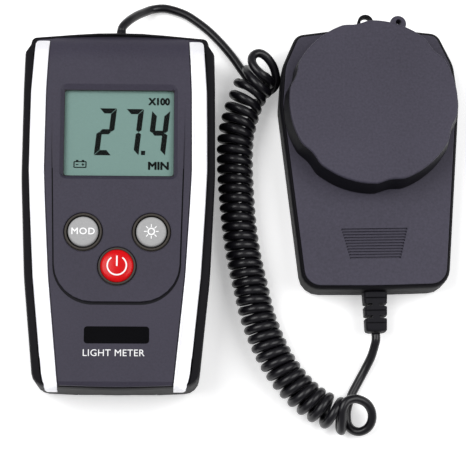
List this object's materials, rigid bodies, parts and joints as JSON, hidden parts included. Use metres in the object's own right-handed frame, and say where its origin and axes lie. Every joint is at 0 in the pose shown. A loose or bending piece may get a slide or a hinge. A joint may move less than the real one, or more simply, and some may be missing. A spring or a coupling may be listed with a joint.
{
  "type": "handheld light meter",
  "caption": "Handheld digital light meter: display unit with keys and a battery bay, joined by a curly cord to a flat sensor head under a round lift-off cap.",
  "frame": {"origin": "middle of the display unit's back face, which lies on the table", "axes": "+Z out of the display, +Y towards the display unit's cord end, +X towards the sensor head"},
  "size_m": [0.1765, 0.1798, 0.036],
  "materials": {
    "black_shell": "fine matte texture",
    "grey_shell": "satin",
    "silver_trim": "bright silver paint on plastic",
    "clear_window": "clear",
    "lcd": "grey-green liquid-crystal cell",
    "white_plastic": "translucent white",
    "board": "green solder mask",
    "black_plastic": "moulded",
    "key_mat": "matte",
    "grey_key": "matte",
    "red_key": "satin red",
    "switch_metal": "plain",
    "screw": "zinc plated",
    "battery_case": "printed sleeve",
    "cord": "smooth, slightly glossy",
    "red_wire": "smooth",
    "black_wire": "smooth",
    "filter": "green correction filter"
  },
  "bodies": {
    "meter": {"rear_shell": "black_shell", "front_shell": "grey_shell", "right_trim_strip": "silver_trim", "left_trim_strip": "silver_trim", "display_window": "clear_window", "lcd_panel": "lcd", "lcd_frame": "white_plastic", "lcd_connector": "key_mat", "backlight_panel": "white_plastic", "main_board": "board", "processor_chip": "black_plastic", "cord_socket": "white_plastic", "board_screw_1": "screw", "board_screw_2": "screw", "board_screw_3": "screw", "board_screw_4": "screw", "case_screw_1": "screw", "case_screw_2": "screw", "case_screw_3": "screw", "case_screw_4": "screw", "keypad_mat": "key_mat", "mode_switch": "switch_metal", "light_switch": "switch_metal", "power_switch": "switch_metal", "battery": "battery_case", "battery_snap": "black_plastic", "battery_lead_red": "red_wire", "battery_lead_black": "black_wire", "cord_grommet": "cord", "cord_inner_lead": "cord", "cord_upper_lead": "cord", "curly_cord": "cord"},
    "mode_key": {"mode_button": "grey_key"},
    "light_key": {"light_button": "grey_key"},
    "power_key": {"power_button": "red_key"},
    "battery_cover": {"battery_cover": "black_shell"},
    "sensor_head": {"sensor_rear_casing": "black_shell", "sensor_front_casing": "grey_shell", "diffuser_dome": "white_plastic", "diffuser_ring": "black_plastic", "colour_filter": "filter", "filter_holder": "black_plastic", "photodiode": "black_plastic", "sensor_board": "board", "sensor_screw_1": "screw", "sensor_screw_2": "screw", "sensor_screw_3": "screw", "sensor_screw_4": "screw", "sensor_inner_lead": "cord", "sensor_strain_relief": "cord", "cord_sensor_tail": "cord"},
    "cap": {"sensor_cap": "grey_shell"}
  },
  "joints": [
    {"name": "mode_press", "type": "slide", "parent": "meter", "child": "mode_key", "axis": [0, 0, -1], "range_m": [0, 0.0008], "stiffness_N_per_m": 600, "springref_m": -0.0005},
    {"name": "light_press", "type": "slide", "parent": "meter", "child": "light_key", "axis": [0, 0, -1], "range_m": [0, 0.0008], "stiffness_N_per_m": 600, "springref_m": -0.0005},
    {"name": "power_press", "type": "slide", "parent": "meter", "child": "power_key", "axis": [0, 0, -1], "range_m": [0, 0.0008], "stiffness_N_per_m": 600, "springref_m": -0.0005},
    {"name": "battery_cover_slide", "type": "slide", "parent": "meter", "child": "battery_cover", "axis": [0, -1, 0], "range_m": [0, 0.05]},
    {"name": "sensor_head_slide", "type": "slide", "parent": "meter", "child": "sensor_head", "axis": [1, 0, 0], "range_m": [0, 0.04]},
    {"name": "cap_lift", "type": "slide", "parent": "sensor_head", "child": "cap", "axis": [0, 0, 1], "range_m": [0, 0.03]}
  ]
}
